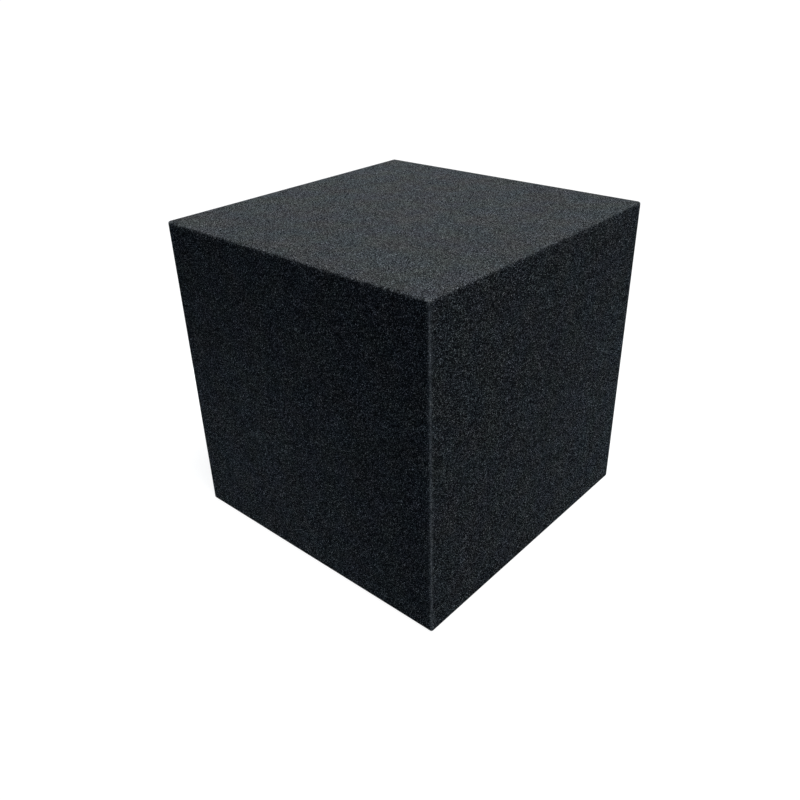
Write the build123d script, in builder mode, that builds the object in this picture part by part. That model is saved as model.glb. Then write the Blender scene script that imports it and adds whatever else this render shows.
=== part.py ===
from build123d import *
import os

# Corner bass trap: one cube of open-cell foam that fills the corner where two walls meet the floor or
# the ceiling. Millimetres, +Z up, with the origin at the centre of the face that the cube stands on.
# The walls are behind -X and +Y, and +X and -Y look into the room.

# The three walls of a corner ask for one length, which is also the section of the traps that meet the cube.
cube_side = 150.0

# A blade leaves a foam edge slightly blunt, because the cut cells along it have no neighbour to hold them.
edge_rounding = 1.2

# Foam block
with BuildPart() as foam_block:
    with BuildSketch(Plane.XY):
        Rectangle(cube_side, cube_side)
    extrude(amount=cube_side)
    fillet(foam_block.edges(), radius=edge_rounding)

foam_block.part.label = "foam_block"

os.makedirs("parts", exist_ok=True)
export_step(foam_block.part, "parts/foam_block.step")
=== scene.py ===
"""Corner bass trap: a cube of black open-cell foam for the corner of a room, seen in a plain white studio.

All lengths are metres. +Z is up, the walls of the corner would stand behind -X and +Y, and the block's
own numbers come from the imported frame.
"""

import math

import bpy
import numpy as np
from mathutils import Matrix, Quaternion, Vector


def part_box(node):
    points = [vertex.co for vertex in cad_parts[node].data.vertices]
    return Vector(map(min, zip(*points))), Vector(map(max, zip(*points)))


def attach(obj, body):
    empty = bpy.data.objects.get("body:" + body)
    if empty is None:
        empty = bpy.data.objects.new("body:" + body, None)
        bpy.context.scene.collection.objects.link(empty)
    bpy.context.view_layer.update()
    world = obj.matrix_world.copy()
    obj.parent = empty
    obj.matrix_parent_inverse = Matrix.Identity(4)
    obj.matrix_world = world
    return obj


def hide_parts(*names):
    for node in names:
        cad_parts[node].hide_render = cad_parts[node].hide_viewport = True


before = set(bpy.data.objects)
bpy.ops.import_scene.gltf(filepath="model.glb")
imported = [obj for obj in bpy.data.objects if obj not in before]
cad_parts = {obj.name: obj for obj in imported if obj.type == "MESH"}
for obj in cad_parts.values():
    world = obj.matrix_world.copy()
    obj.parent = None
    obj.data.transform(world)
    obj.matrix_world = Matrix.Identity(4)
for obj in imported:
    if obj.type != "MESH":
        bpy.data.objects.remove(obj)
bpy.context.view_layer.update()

bl_info = {
    "name": "Corner Bass Trap",
    "version": (1, 0, 0),
    "blender": (4, 5, 0),
    "location": "3D View > Sidebar > Bass Trap",
    "description": "Makes a corner cube of open-cell foam and the studio it stands in",
    "category": "Object",
}

BLOCK_NODE = "foam_block"
BLOCK_LOW, BLOCK_HIGH = (np.array(corner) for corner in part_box(BLOCK_NODE))
BAKE_MAP = "OFBake"
# Name of the point attribute that holds the painted highlight along the edges.
EDGE_HIGHLIGHT = "edge_wear"


# Sizes and colours

class FoamSettings(bpy.types.PropertyGroup):
    """How the foam was blown and cut"""

    edge_rounding: bpy.props.FloatProperty(
        name="Edge rounding",
        description="Radius to which the cut edges have gone blunt",
        default=0.0012,
        min=0.0002,
        unit="LENGTH",
    )
    pit_depth: bpy.props.FloatProperty(
        name="Pit depth",
        description="How far the deepest cut cells lie below the face",
        default=0.0001,
        min=0.0,
        unit="LENGTH",
    )
    calm_border: bpy.props.FloatProperty(
        name="Calm border",
        description="Strip along each edge over which the pits grow to their full depth",
        default=0.004,
        min=0.0001,
        unit="LENGTH",
    )
    face_waviness: bpy.props.FloatProperty(
        name="Face waviness",
        description="How far the blade wandered from a flat face",
        default=0.0001,
        min=0.0,
        unit="LENGTH",
    )
    steps_per_side: bpy.props.IntProperty(
        name="Steps per side",
        description="Steps of the mesh along the flat part of one side",
        default=125,
        min=8,
    )
    seed: bpy.props.IntProperty(
        name="Seed",
        description="Which of many like foams this is",
        default=15,
    )
    cell_size: bpy.props.FloatProperty(
        name="Cell size",
        description="Mean width of a cell of the foam",
        default=0.0008,
        min=0.0003,
        unit="LENGTH",
    )
    cell_spread: bpy.props.FloatProperty(
        name="Cell spread",
        description="How unevenly the cells are spaced",
        subtype="FACTOR",
        default=1.0,
        min=0.0,
        max=1.0,
    )
    cell_depth: bpy.props.FloatProperty(
        name="Cell depth",
        description="How far the middle of a cut cell dips below its rim",
        default=0.00005,
        min=0.0,
        unit="LENGTH",
    )
    # Painted shade: the middle of each cut cell, where it dips, is darker than its rim.
    cell_shade: bpy.props.FloatProperty(
        name="Cell shade",
        description="How much darker the middle of a cut cell is than its rim",
        subtype="FACTOR",
        default=0.3,
        min=0.0,
        max=1.0,
    )
    facet_size: bpy.props.FloatProperty(
        name="Facet size",
        description="Mean width of the facets of cut strut that make the grain",
        default=0.00021,
        min=0.0001,
        unit="LENGTH",
    )
    facet_slope: bpy.props.FloatProperty(
        name="Facet slope",
        description="Slope of the steepest facets against the face, along each axis",
        default=0.6,
        min=0.0,
    )
    steep_contrast: bpy.props.FloatProperty(
        name="Steep contrast",
        description="How much paler the steep facets are than those that face outward",
        default=2.3,
        min=0.0,
    )
    # The few pale facets are partly the grain of cut strut and partly painted glints.
    chance_contrast: bpy.props.FloatProperty(
        name="Chance contrast",
        description="How few of the facets are pale for no reason but chance",
        default=2.6,
        min=0.0,
    )
    # Painted light from above: the facets that face up are made paler.
    painted_light_from_above: bpy.props.FloatProperty(
        name="Dust",
        description="How much paler the facets are that face up, where fine dust lies",
        subtype="FACTOR",
        default=0.92,
        min=0.0,
        max=1.0,
    )
    pore_color: bpy.props.FloatVectorProperty(
        name="Pore colour",
        description="Colour inside an open cell",
        subtype="COLOR",
        default=(0.003, 0.0033, 0.0035),
    )
    # Palest facets, near white: partly the grain of cut strut, partly painted glints.
    strut_and_glint_color: bpy.props.FloatVectorProperty(
        name="Strut colour",
        description="Colour of the palest facets of strut",
        subtype="COLOR",
        default=(0.832, 0.908, 0.954),
    )
    warm_tint: bpy.props.FloatVectorProperty(
        name="Warm tint",
        description="Tint of the patches where the black is warmer",
        subtype="COLOR",
        default=(1.0, 0.985, 0.93),
    )
    cool_tint: bpy.props.FloatVectorProperty(
        name="Cool tint",
        description="Tint of the patches where the black is cooler",
        subtype="COLOR",
        default=(0.94, 0.965, 1.0),
    )
    rosy_tint: bpy.props.FloatVectorProperty(
        name="Rosy tint",
        description="Tint of the patches where the black has a trace of red",
        subtype="COLOR",
        default=(1.0, 0.955, 0.98),
    )
    green_tint: bpy.props.FloatVectorProperty(
        name="Green tint",
        description="Tint of the patches where the black has a trace of green",
        subtype="COLOR",
        default=(0.97, 1.0, 0.99),
    )
    patch_size: bpy.props.FloatProperty(
        name="Patch size",
        description="Width of the patches in which the tint of the black drifts",
        default=0.015,
        min=0.001,
        unit="LENGTH",
    )
    # Painted highlight: pale colour along the middle of the blunt edges.
    edge_highlight_color: bpy.props.FloatVectorProperty(
        name="Worn colour",
        description="Colour of the torn cells along the middle of a blunt edge",
        subtype="COLOR",
        default=(0.30, 0.318, 0.315),
    )
    # Strength of the painted highlight along the upright edges.
    upright_edge_highlight: bpy.props.FloatProperty(
        name="Upright wear",
        description="How worn the upright edges are",
        subtype="FACTOR",
        default=0.52,
        min=0.0,
        max=1.0,
    )
    # Strength of the painted highlight along the level edges.
    level_edge_highlight: bpy.props.FloatProperty(
        name="Level wear",
        description="How worn the level edges are",
        subtype="FACTOR",
        default=0.1,
        min=0.0,
        max=1.0,
    )


class StudioSettings(bpy.types.PropertyGroup):
    """The floor, the light and the camera"""

    floor_color: bpy.props.FloatVectorProperty(
        name="Floor colour",
        description="Colour of the floor as the camera sees it",
        subtype="COLOR",
        default=(0.2, 0.2, 0.2),
    )
    bounce_color: bpy.props.FloatVectorProperty(
        name="Bounce colour",
        description="Share of its light that the floor throws back at the block",
        subtype="COLOR",
        default=(0.05, 0.105, 0.20),
    )
    floor_glow: bpy.props.FloatProperty(
        name="Floor glow",
        description="Light of its own that keeps the floor white, as the camera sees it",
        subtype="FACTOR",
        default=0.85,
        min=0.0,
        max=1.0,
    )
    floor_size: bpy.props.FloatProperty(
        name="Floor size",
        description="Side of the square floor",
        default=40.0,
        unit="LENGTH",
    )
    overhead_strength: bpy.props.FloatProperty(
        name="Overhead strength",
        description="Strength of the light from above",
        default=3.0,
    )
    overhead_angle: bpy.props.FloatProperty(
        name="Overhead angle",
        description="Width of the light from above as the block sees it",
        subtype="ANGLE",
        default=math.radians(20),
    )
    overhead_lean: bpy.props.FloatProperty(
        name="Overhead lean",
        description="How far the light from above stands off the vertical",
        subtype="ANGLE",
        default=math.radians(20),
    )
    overhead_side: bpy.props.FloatProperty(
        name="Overhead side",
        description="Compass angle, from +X, towards which the light from above leans",
        subtype="ANGLE",
        default=math.radians(-13),
    )
    fill_color: bpy.props.FloatVectorProperty(
        name="Fill colour",
        description="Faint cool light that comes evenly from all round",
        subtype="COLOR",
        default=(0.0, 0.028, 0.062),
    )
    left_card_strength: bpy.props.FloatProperty(
        name="Left card strength",
        description="Light from the low card in front of the left face",
        default=0.1,
        unit="POWER",
    )
    left_card_place: bpy.props.FloatVectorProperty(
        name="Left card place",
        description="Where the low card in front of the left face stands",
        subtype="TRANSLATION",
        default=(-0.05, -0.21, 0.02),
    )
    left_card_color: bpy.props.FloatVectorProperty(
        name="Left card colour",
        description="Colour of the light from the low card in front of the left face",
        subtype="COLOR",
        default=(0.84, 0.93, 1.0),
    )
    right_card_strength: bpy.props.FloatProperty(
        name="Right card strength",
        description="Light from the low card beside the right face",
        default=0.415,
        unit="POWER",
    )
    right_card_place: bpy.props.FloatVectorProperty(
        name="Right card place",
        description="Where the low card beside the right face stands",
        subtype="TRANSLATION",
        default=(0.19, 0.25, 0.03),
    )
    right_card_color: bpy.props.FloatVectorProperty(
        name="Right card colour",
        description="Colour of the light from the low card beside the right face",
        subtype="COLOR",
        default=(0.68, 0.88, 1.0),
    )
    wall_card_strength: bpy.props.FloatProperty(
        name="Wall card strength",
        description="Light from the low card beside the face for the left wall",
        default=0.13,
        unit="POWER",
    )
    wall_card_place: bpy.props.FloatVectorProperty(
        name="Wall card place",
        description="Where the low card beside the face for the left wall stands",
        subtype="TRANSLATION",
        default=(-0.21, 0.03, 0.02),
    )
    wall_card_color: bpy.props.FloatVectorProperty(
        name="Wall card colour",
        description="Colour of the light from the low card beside the face for the left wall",
        subtype="COLOR",
        default=(0.9, 0.95, 1.0),
    )
    back_card_strength: bpy.props.FloatProperty(
        name="Back card strength",
        description="Light from the high card behind the block",
        default=0.64,
        unit="POWER",
    )
    back_card_place: bpy.props.FloatVectorProperty(
        name="Back card place",
        description="Where the high card behind the block hangs",
        subtype="TRANSLATION",
        default=(-0.19, 0.20, 0.52),
    )
    back_card_color: bpy.props.FloatVectorProperty(
        name="Back card colour",
        description="Colour of the light from the high card behind the block",
        subtype="COLOR",
        default=(1.0, 1.0, 1.0),
    )
    card_size: bpy.props.FloatProperty(
        name="Card size",
        description="Side of each square card",
        default=0.1,
        unit="LENGTH",
    )
    camera_azimuth: bpy.props.FloatProperty(
        name="Camera azimuth",
        description="Compass angle of the view, 0 along +Y",
        subtype="ANGLE",
        default=math.radians(42.27),
    )
    camera_elevation: bpy.props.FloatProperty(
        name="Camera elevation",
        description="How far the camera looks down",
        subtype="ANGLE",
        default=math.radians(29.32),
    )
    camera_roll: bpy.props.FloatProperty(
        name="Camera roll",
        description="Turn of the camera about its own view",
        subtype="ANGLE",
        default=math.radians(-1.61),
    )
    camera_distance: bpy.props.FloatProperty(
        name="Camera distance",
        description="From the camera to the point it looks at",
        default=0.3851,
        unit="LENGTH",
    )
    camera_aim: bpy.props.FloatVectorProperty(
        name="Camera aim",
        description="The point that the camera looks at",
        subtype="TRANSLATION",
        default=(0.00203, -0.01055, 0.05867),
    )
    camera_lens: bpy.props.FloatProperty(
        name="Camera lens",
        description="Focal length for a sensor 36 mm wide",
        default=35.2,
    )


# Mesh of the foam block

# Steps of the mesh from the flat of a face to the middle of its rounded edge.
EDGE_STEPS = 2
# Steps of the mesh from the middle of an edge over which its painted highlight fades out.
EDGE_HIGHLIGHT_STEPS = 3
# How far a point of a face strays from its grid place, as a share of one step.
CROOKEDNESS = 0.38
# Shape of the spread of pit depths from 0 to 1: many shallow pits and few deep ones.
PIT_SPREAD = (1.3, 2.6)
# Length of the waves that the blade leaves in a face, and how many of them add up.
BLADE_WAVE_LENGTH = 0.06
BLADE_WAVES = 12
# How loose and how tight a wave may be: 1 is one wave in that length.
WAVE_TIGHTNESS = (0.6, 1.6)
# Faces across and up on the bake's map, and the margin of each, as a share of its room there.
MAP_TILES = np.array([3, 2])
MAP_MARGIN = 0.01


def lattice_lines(low, high, rounding, steps):
    """Grid lines along one side: the core of each, and how far it leans out over a rounded edge."""
    flat = np.linspace(low + rounding, high - rounding, steps + 1)
    lean = np.tan(math.pi / 4 * np.arange(EDGE_STEPS, 0, -1) / EDGE_STEPS)
    core = np.concatenate([np.full(EDGE_STEPS, flat[0]), flat, np.full(EDGE_STEPS, flat[-1])])
    leans = np.concatenate([-lean, np.zeros(steps + 1), lean[::-1]])
    return core, leans


def cube_lattice(last):
    """The lattice points on the surface of a cube, the quads between them, and the quads' map places."""
    at = np.indices((last + 1,) * 3)
    outside = ((at == 0) | (at == last)).any(axis=0)
    number = np.full(outside.shape, -1)
    number[outside] = np.arange(outside.sum())
    quads = []
    places = []
    grid = np.stack(np.meshgrid(np.arange(last + 1), np.arange(last + 1), indexing="ij"), axis=-1)
    for axis in range(3):
        for side in range(2):
            sheet = number.take(side * last, axis=axis)
            corners = [sheet[:-1, :-1], sheet[1:, :-1], sheet[1:, 1:], sheet[:-1, 1:]]
            spots = [grid[:-1, :-1], grid[1:, :-1], grid[1:, 1:], grid[:-1, 1:]]
            inward = (side == 0) != (axis == 1)
            if inward:
                corners.reverse()
                spots.reverse()
            tile = np.array([axis, side])
            quads.append(np.stack(corners, axis=-1).reshape(-1, 4))
            places.append(map_places(np.stack(spots, axis=-2).reshape(-1, 4, 2) / last, tile))
    return np.argwhere(outside), np.concatenate(quads), np.concatenate(places)


def map_places(spots, tile):
    """Places on the bake's map: the six faces lie three across and two up, a little apart."""
    return (tile + MAP_MARGIN + spots * (1 - 2 * MAP_MARGIN)) / MAP_TILES


def waves(points, length, count, rng):
    """A smooth field over the points, from -1 to 1, whose waves are about one length long."""
    ways = rng.normal(size=(count, 3))
    ways *= 2 * math.pi / length / np.linalg.norm(ways, axis=1, keepdims=True)
    ways *= rng.uniform(*WAVE_TIGHTNESS, size=(count, 1))
    turns = rng.uniform(0, 2 * math.pi, size=count)
    return np.sin(points @ ways.T + turns).mean(axis=1)


def edge_wear(lattice, last, foam):
    """How strong the painted highlight is at each lattice point: most along the middle of an edge, and none
    on a face.
    """
    steps_in = np.minimum(lattice, last - lattice)
    share = np.clip(1 - np.sort(steps_in, axis=1)[:, 1] / EDGE_HIGHLIGHT_STEPS, 0, 1)
    upright = steps_in[:, :2].max(axis=1) < EDGE_HIGHLIGHT_STEPS
    return share**2 * np.where(upright, foam.upright_edge_highlight, foam.level_edge_highlight)


def foam_mesh(foam):
    """The block's closed mesh: a cube with blunt edges, and faces pitted where cells were cut open."""
    rng = np.random.default_rng(foam.seed)
    side = BLOCK_HIGH - BLOCK_LOW
    rounding = foam.edge_rounding
    last = foam.steps_per_side + 2 * EDGE_STEPS
    lattice, quads, places = cube_lattice(last)
    core = np.empty(lattice.shape)
    lean = np.empty(lattice.shape)
    for axis in range(3):
        lines, leans = lattice_lines(BLOCK_LOW[axis], BLOCK_HIGH[axis], rounding, foam.steps_per_side)
        core[:, axis] = lines[lattice[:, axis]]
        lean[:, axis] = leans[lattice[:, axis]]
    outward = lean / np.linalg.norm(lean, axis=1, keepdims=True)
    spacing = (side - 2 * rounding) / foam.steps_per_side
    inner = (lattice > EDGE_STEPS) & (lattice < last - EDGE_STEPS)
    core += inner * spacing * rng.uniform(-CROOKEDNESS, CROOKEDNESS, size=core.shape)
    surface = core + rounding * outward
    from_edge = np.sort(np.minimum(surface - BLOCK_LOW, BLOCK_HIGH - surface), axis=1)[:, 1]
    share = np.clip(from_edge / foam.calm_border, 0, 1)
    pits = foam.pit_depth * share * rng.beta(*PIT_SPREAD, size=len(surface))
    sway = foam.face_waviness * (0.5 + 0.5 * waves(surface, BLADE_WAVE_LENGTH, BLADE_WAVES, rng))
    points = surface - outward * (pits + sway)[:, None]

    mesh = bpy.data.meshes.new("foam_block_cut")
    mesh.from_pydata(points, [], quads)
    layer = mesh.uv_layers.new(name=BAKE_MAP)
    layer.uv.foreach_set("vector", places.reshape(-1).astype(np.float32))
    # Painted highlight along the edges, kept on the points for the material.
    highlight_share = mesh.attributes.new(EDGE_HIGHLIGHT, "FLOAT", "POINT")
    highlight_share.data.foreach_set("value", edge_wear(lattice, last, foam).astype(np.float32))
    mesh.shade_smooth()
    mesh.update()
    return mesh


# Materials

def add_node(tree, kind, inputs=None, **settings):
    """A new shader node with its settings, and with each input linked or set."""
    made = tree.nodes.new(kind)
    for name, value in settings.items():
        setattr(made, name, value)
    for name, value in (inputs or {}).items():
        if isinstance(value, bpy.types.NodeSocket):
            tree.links.new(value, made.inputs[name])
        else:
            made.inputs[name].default_value = value
    return made


def smooth_range(tree, value, low, high, to_low=0.0, to_high=1.0):
    """The value mapped smoothly from one range to another."""
    made = add_node(
        tree,
        "ShaderNodeMapRange",
        {"Value": value, "From Min": low, "From Max": high, "To Min": to_low, "To Max": to_high},
        interpolation_type="SMOOTHSTEP",
    )
    return made.outputs["Result"]


def math_node(tree, operation, first, second):
    """One step of arithmetic on two numbers."""
    return add_node(tree, "ShaderNodeMath", {0: first, 1: second}, operation=operation).outputs[0]


def vector_node(tree, operation, first, second=(0.0, 0.0, 0.0), third=(0.0, 0.0, 0.0)):
    """One step of arithmetic on vectors."""
    made = add_node(tree, "ShaderNodeVectorMath", {0: first, 1: second, 2: third}, operation=operation)
    return made.outputs["Value" if operation == "LENGTH" else "Vector"]


def mix_colors(tree, share, first, second, blend="MIX"):
    """Two colours mixed by a share."""
    made = add_node(tree, "ShaderNodeMix", data_type="RGBA", blend_type=blend)
    for socket, value in ((made.inputs[0], share), (made.inputs[6], first), (made.inputs[7], second)):
        if isinstance(value, bpy.types.NodeSocket):
            tree.links.new(value, socket)
        else:
            socket.default_value = value
    return made.outputs[2]


def mix_numbers(tree, share, first, second):
    """Two numbers mixed by a share."""
    return add_node(tree, "ShaderNodeMix", {0: share, 2: first, 3: second}, data_type="FLOAT").outputs[0]


# Length of the longest lean that a facet can have, before it is scaled to its slope.
STEEPEST = math.sqrt(3) / 2
# Distances from the middle of a cell, in cells, at which its rim begins and is full.
RIM = (0.1, 0.8)
# How far up a facet has to face for the painted light from above to begin, and to be full: 1 is straight
# up.
PAINTED_LIGHT_FACING = (-0.1, 0.5)
# Levels of the noise at which a patch has wholly the one tint, and wholly the other.
DRIFT = (0.35, 0.65)
PORE_ROUGHNESS = 1.0
RIM_ROUGHNESS = 0.85


def foam_material(foam):
    """Black open-cell foam: small facets of cut strut, each with its lean and tone, over dark cells, with
    painted shade in the cells, painted light from above, painted glints and a painted highlight along the
    edges.
    """
    material = bpy.data.materials.new("black_open_cell_foam")
    material.use_nodes = True
    tree = material.node_tree
    shader = tree.nodes["Principled BSDF"]
    place = add_node(tree, "ShaderNodeTexCoord").outputs["Object"]

    cells = add_node(
        tree,
        "ShaderNodeTexVoronoi",
        {"Vector": place, "Scale": 1 / foam.cell_size, "Randomness": foam.cell_spread},
    )
    rim = smooth_range(tree, cells.outputs["Distance"], *RIM)
    dents = add_node(tree, "ShaderNodeBump", {"Height": rim, "Distance": foam.cell_depth})

    facets = add_node(tree, "ShaderNodeTexVoronoi", {"Vector": place, "Scale": 1 / foam.facet_size})
    lean = vector_node(tree, "SUBTRACT", facets.outputs["Color"], (0.5, 0.5, 0.5))
    slope = (2 * foam.facet_slope,) * 3
    leaning = vector_node(tree, "MULTIPLY_ADD", lean, slope, dents.outputs["Normal"])
    normal = vector_node(tree, "NORMALIZE", leaning)
    tree.links.new(normal, shader.inputs["Normal"])

    steep = math_node(tree, "DIVIDE", vector_node(tree, "LENGTH", lean), STEEPEST)
    steep = math_node(tree, "POWER", steep, foam.steep_contrast)
    noise = add_node(tree, "ShaderNodeTexWhiteNoise", {"Vector": facets.outputs["Color"]})
    chance = noise.outputs["Value"]
    # Sparse pale facets: partly the grain of cut strut, partly painted glints.
    pale = math_node(tree, "POWER", chance, foam.chance_contrast)
    # Painted shade in the middle of each cut cell.
    painted_pore_shade = mix_numbers(tree, rim, 1 - foam.cell_shade, 1.0)
    # Painted light from above: facets that face up are paler, which raises the contrast of the sides.
    upward = add_node(tree, "ShaderNodeSeparateXYZ", {0: normal}).outputs["Z"]
    painted_light_from_above = smooth_range(tree, upward, *PAINTED_LIGHT_FACING, 1 - foam.painted_light_from_above, 1.0)
    # Tone of each facet: its grain and glints, times the painted shade of the cells and the painted light
    # from above.
    shade = math_node(tree, "MULTIPLY", math_node(tree, "MULTIPLY", steep, pale), painted_pore_shade)
    shade = math_node(tree, "MULTIPLY", shade, painted_light_from_above)
    color = mix_colors(tree, shade, (*foam.pore_color, 1), (*foam.strut_and_glint_color, 1))

    patches = add_node(tree, "ShaderNodeTexNoise", {"Vector": place, "Scale": 1 / foam.patch_size})
    drifts = add_node(tree, "ShaderNodeSeparateXYZ", {0: patches.outputs["Color"]}).outputs
    tints = (
        ("X", foam.warm_tint, foam.cool_tint),
        ("Y", foam.rosy_tint, foam.green_tint),
    )
    for part, one, other in tints:
        share = smooth_range(tree, drifts[part], *DRIFT)
        tint = mix_colors(tree, share, (*one, 1), (*other, 1))
        color = mix_colors(tree, 1.0, color, tint, "MULTIPLY")
    # Painted highlight: a pale, speckled line along the blunt edges, strongest on the upright ones.
    highlight_share = add_node(tree, "ShaderNodeAttribute", attribute_name=EDGE_HIGHLIGHT).outputs["Fac"]
    speckled_edge_highlight = math_node(tree, "MULTIPLY", highlight_share, chance)
    color = mix_colors(tree, speckled_edge_highlight, color, (*foam.edge_highlight_color, 1))
    tree.links.new(color, shader.inputs["Base Color"])

    roughness = mix_numbers(tree, rim, PORE_ROUGHNESS, RIM_ROUGHNESS)
    tree.links.new(roughness, shader.inputs["Roughness"])
    shader.inputs["Specular IOR Level"].default_value = 0.0
    return material


def seen_or_not(tree):
    """1 for a ray from the camera, a gloss or a glass, and 0 for light that is thrown on other things."""
    rays = add_node(tree, "ShaderNodeLightPath").outputs
    seen = math_node(tree, "MAXIMUM", rays["Is Camera Ray"], rays["Is Glossy Ray"])
    return math_node(tree, "MAXIMUM", seen, rays["Is Transmission Ray"])


def floor_material(studio):
    """White where it is seen, with a faint shadow, and darker for the light it throws back."""
    material = bpy.data.materials.new("white_floor")
    material.use_nodes = True
    tree = material.node_tree
    shader = tree.nodes["Principled BSDF"]
    shader.inputs["Roughness"].default_value = 0.9
    shader.inputs["Specular IOR Level"].default_value = 0.0
    seen = seen_or_not(tree)
    color = mix_colors(tree, seen, (*studio.bounce_color, 1), (*studio.floor_color, 1))
    tree.links.new(color, shader.inputs["Base Color"])
    glow = studio.floor_glow
    shine = mix_colors(tree, seen, (0, 0, 0, 1), (glow, glow, glow, 1))
    tree.links.new(shine, shader.inputs["Emission Color"])
    shader.inputs["Emission Strength"].default_value = 1.0
    return material


# Building

def add_object(name, data):
    """A new object of the data, in the scene."""
    made = bpy.data.objects.new(name, data)
    bpy.context.scene.collection.objects.link(made)
    return made


class CutFoamBlock(bpy.types.Operator):
    """Cut the foam block that fills the corner"""

    bl_idname = "bass_trap.cut_foam_block"
    bl_label = "Cut Foam Block"

    def execute(self, context):
        foam = context.scene.bass_trap_foam
        block = add_object("foam_block_cut", foam_mesh(foam))
        block.data.materials.append(foam_material(foam))
        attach(block, "root")
        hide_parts(BLOCK_NODE)
        return {"FINISHED"}


class SetStudio(bpy.types.Operator):
    """Set the floor, the light and the camera"""

    bl_idname = "bass_trap.set_studio"
    bl_label = "Set Studio"

    def execute(self, context):
        studio = context.scene.bass_trap_studio
        self.lay_floor(studio)
        self.light(context, studio)
        self.hang_cards(studio)
        self.place_camera(context, studio)
        context.scene.view_settings.view_transform = "Standard"
        return {"FINISHED"}

    def lay_floor(self, studio):
        """A wide flat floor under the block."""
        half = studio.floor_size / 2
        corners = [(-half, -half, 0), (half, -half, 0), (half, half, 0), (-half, half, 0)]
        mesh = bpy.data.meshes.new("studio_floor")
        mesh.from_pydata(corners, [], [(0, 1, 2, 3)])
        mesh.materials.append(floor_material(studio))
        add_object("studio_floor", mesh)

    def light(self, context, studio):
        """One soft light from above, and faint light from all round."""
        lamp = bpy.data.lights.new("overhead_softbox", "SUN")
        lamp.energy = studio.overhead_strength
        lamp.angle = studio.overhead_angle
        lean, side = studio.overhead_lean, studio.overhead_side
        source = Vector((math.sin(lean) * math.cos(side), math.sin(lean) * math.sin(side), math.cos(lean)))
        overhead = add_object("overhead_softbox", lamp)
        overhead.rotation_mode = "QUATERNION"
        overhead.rotation_quaternion = source.to_track_quat("Z", "Y")

        world = bpy.data.worlds.new("studio_air")
        world.use_nodes = True
        tree = world.node_tree
        color = mix_colors(tree, seen_or_not(tree), (*studio.fill_color, 1), (1, 1, 1, 1))
        tree.links.new(color, tree.nodes["Background"].inputs["Color"])
        context.scene.world = world

    def hang_cards(self, studio):
        """Four small glowing cards: three low ones aimed at the block's foot, and a high one at its top."""
        low, high = BLOCK_LOW[2], BLOCK_HIGH[2]
        aims = {"left_card": low, "right_card": low, "wall_card": low, "back_card": high}
        for name, height in aims.items():
            lamp = bpy.data.lights.new(name, "AREA")
            lamp.energy = getattr(studio, name + "_strength")
            lamp.color = getattr(studio, name + "_color")
            lamp.size = studio.card_size
            card = add_object(name, lamp)
            card.location = getattr(studio, name + "_place")
            card.rotation_mode = "QUATERNION"
            toward_block = Vector((0, 0, height)) - card.location
            card.rotation_quaternion = toward_block.to_track_quat("-Z", "Y")
            card.visible_camera = False

    def place_camera(self, context, studio):
        """The camera stands off its aim along its azimuth and elevation."""
        azimuth, elevation = studio.camera_azimuth, studio.camera_elevation
        flat = math.cos(elevation)
        back = Vector((math.sin(azimuth) * flat, -math.cos(azimuth) * flat, math.sin(elevation)))
        lens = bpy.data.cameras.new("studio_camera")
        lens.lens = studio.camera_lens
        lens.sensor_width = 36.0
        lens.clip_start = 0.01
        camera = add_object("studio_camera", lens)
        camera.location = Vector(studio.camera_aim) + back * studio.camera_distance
        camera.rotation_mode = "QUATERNION"
        turn = Quaternion((0, 0, 1), studio.camera_roll)
        camera.rotation_quaternion = (-back).to_track_quat("-Z", "Y") @ turn
        context.scene.camera = camera


class BassTrapPanel(bpy.types.Panel):
    """Lists the pieces of the bass trap and their settings"""

    bl_idname = "VIEW3D_PT_bass_trap"
    bl_label = "Corner Bass Trap"
    bl_space_type = "VIEW_3D"
    bl_region_type = "UI"
    bl_category = "Bass Trap"

    def draw(self, context):
        scene = context.scene
        for settings, operator in (
            (scene.bass_trap_foam, CutFoamBlock),
            (scene.bass_trap_studio, SetStudio),
        ):
            box = self.layout.box()
            for name in type(settings).__annotations__:
                box.prop(settings, name)
            box.operator(operator.bl_idname)


CLASSES = (FoamSettings, StudioSettings, CutFoamBlock, SetStudio, BassTrapPanel)


def register():
    for item in CLASSES:
        bpy.utils.register_class(item)
    bpy.types.Scene.bass_trap_foam = bpy.props.PointerProperty(type=FoamSettings)
    bpy.types.Scene.bass_trap_studio = bpy.props.PointerProperty(type=StudioSettings)


def unregister():
    del bpy.types.Scene.bass_trap_studio
    del bpy.types.Scene.bass_trap_foam
    for item in reversed(CLASSES):
        bpy.utils.unregister_class(item)


def main():
    """Builds the bass trap in its studio."""
    register()
    bpy.ops.bass_trap.cut_foam_block()
    bpy.ops.bass_trap.set_studio()


if __name__ == "__main__":
    main()
